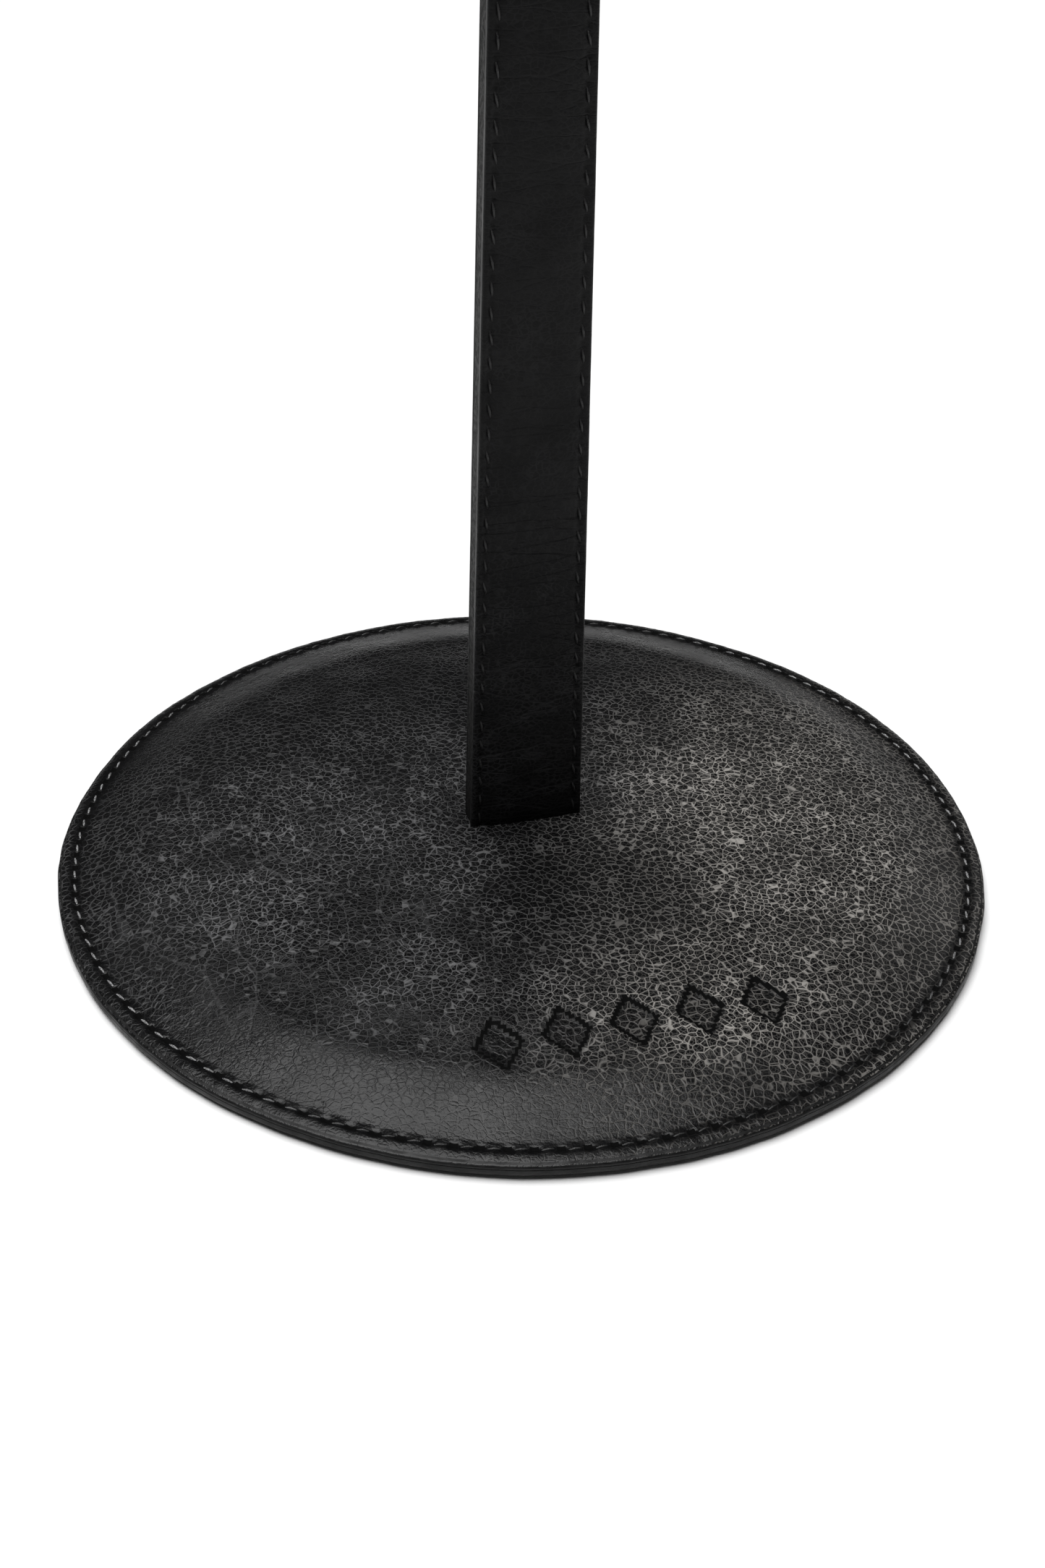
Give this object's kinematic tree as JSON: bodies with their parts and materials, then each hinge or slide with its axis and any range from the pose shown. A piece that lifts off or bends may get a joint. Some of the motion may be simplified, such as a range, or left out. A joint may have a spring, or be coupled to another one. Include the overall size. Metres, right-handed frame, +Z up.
{
  "type": "leather-covered roll stand",
  "caption": "Round weighted padded base covered in stitched black leather, with a slim flat tapering leather-covered post standing upright from its middle.",
  "frame": {"origin": "centre of the base's underside, on the surface it stands on", "axes": "+Z up along the post, +X across the post's flat faces, -Y towards the front"},
  "size_m": [0.16, 0.16, 0.2674],
  "materials": {
    "base_leather": "pebbled black leather, semi-gloss",
    "post_leather": "fine-grained black leather, semi-gloss",
    "thread": "waxed black thread",
    "anti_slip_rubber": "matt",
    "foam": "open-cell foam",
    "leatherboard": "bonded leather fibre, uncoated",
    "plate_steel": "black painted steel",
    "bar_steel": "mill finish",
    "screw_steel": "zinc plated"
  },
  "bodies": {
    "root": {"anti_slip_pad": "anti_slip_rubber", "base_sole_leather": "base_leather", "weight_plate": "plate_steel", "base_foam": "foam", "base_top_leather": "base_leather", "foot_flange": "bar_steel", "foot_screws": "screw_steel", "weld_beads": "bar_steel", "spine_bar": "bar_steel", "filler_strip_left": "leatherboard", "filler_strip_right": "leatherboard", "filler_tip": "leatherboard", "post_front_leather": "post_leather", "post_back_leather": "post_leather", "post_front_thread": "thread", "post_back_thread": "thread", "base_top_thread": "thread", "base_under_thread": "thread"}
  },
  "joints": []
}
